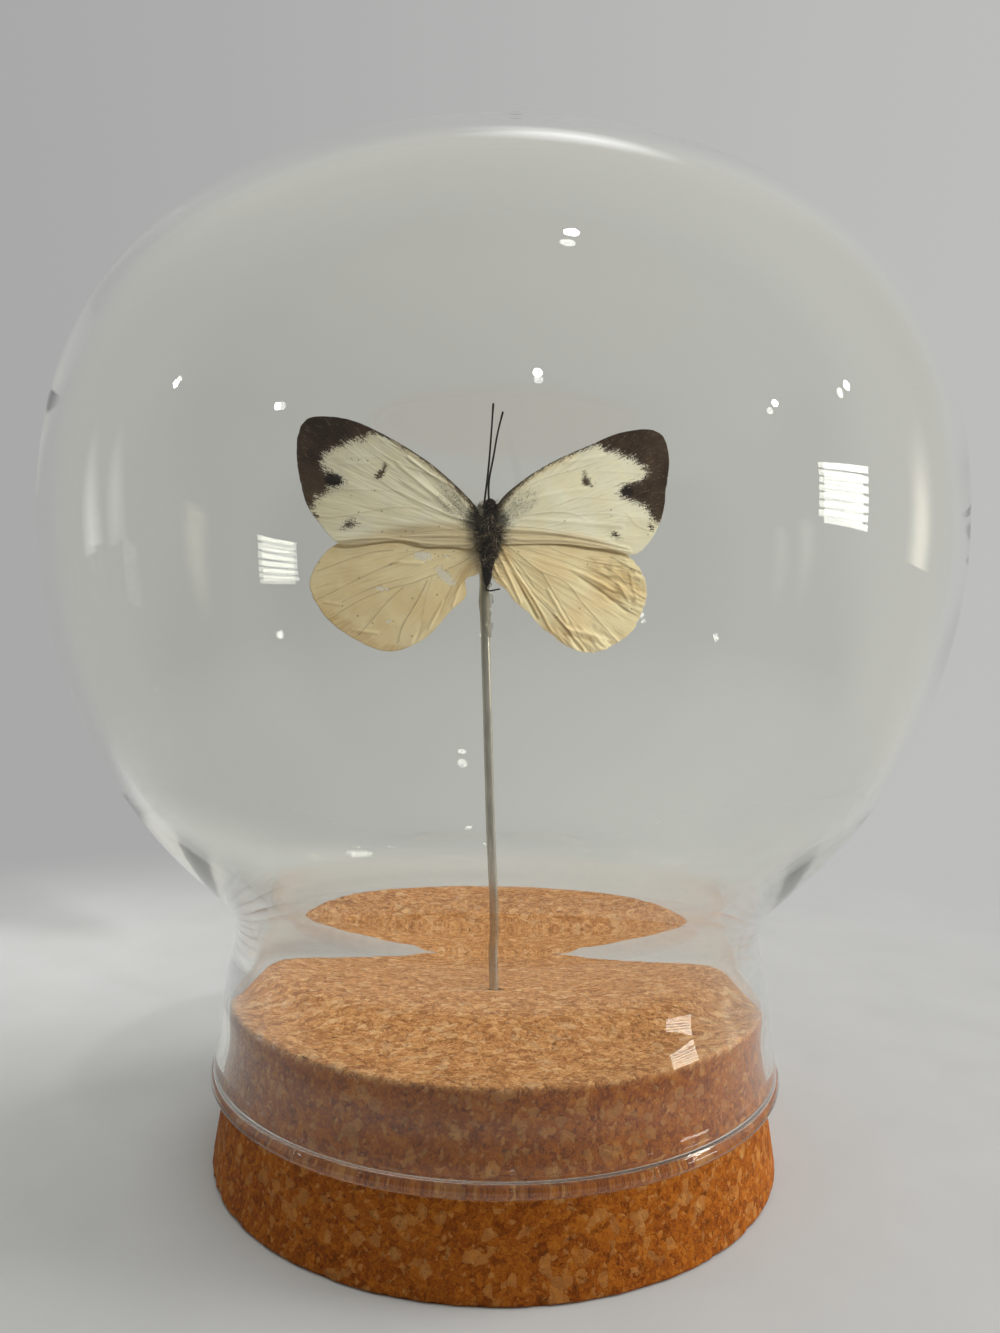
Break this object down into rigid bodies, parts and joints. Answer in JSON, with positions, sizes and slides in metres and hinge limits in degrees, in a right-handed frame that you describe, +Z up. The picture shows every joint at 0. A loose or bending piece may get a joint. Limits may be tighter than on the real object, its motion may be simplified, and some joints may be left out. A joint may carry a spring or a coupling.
{
  "type": "insect in glass dome",
  "caption": "Dried white butterfly with spread wings, glued to an upright wire on a tapered cork stopper under a blown clear glass globe with a short rimmed neck",
  "frame": {"origin": "middle of the cork stopper's flat underside, which rests on the table", "axes": "+Z up along the globe's axis; the butterfly's upper wing faces look along -Y; +X is to the viewer's right from the front"},
  "size_m": [0.1198, 0.1198, 0.1332],
  "materials": {
    "clear_glass": "clear blown glass, fire polished",
    "cork": "sanded agglomerated cork, granules and pores showing",
    "satin_wire": "drawn soft wire, satin",
    "clear_glue": "clear hot glue, lumpy, slightly cloudy",
    "insect_body": "dry chitin with brown and grey hairs",
    "forewing": "powdery scales, cream white with dark brown tips and spots",
    "hindwing": "powdery scales, buff, creased and partly worn through"
  },
  "bodies": {
    "root": {"glass_dome": "clear_glass", "cork_base": "cork", "stem_wire": "satin_wire", "glue_bead": "clear_glue", "butterfly_body": "insect_body", "forewing_left": "forewing", "forewing_right": "forewing", "hindwing_left": "hindwing", "hindwing_right": "hindwing", "antenna_left": "insect_body", "antenna_right": "insect_body", "leg_right": "insect_body"}
  },
  "joints": []
}
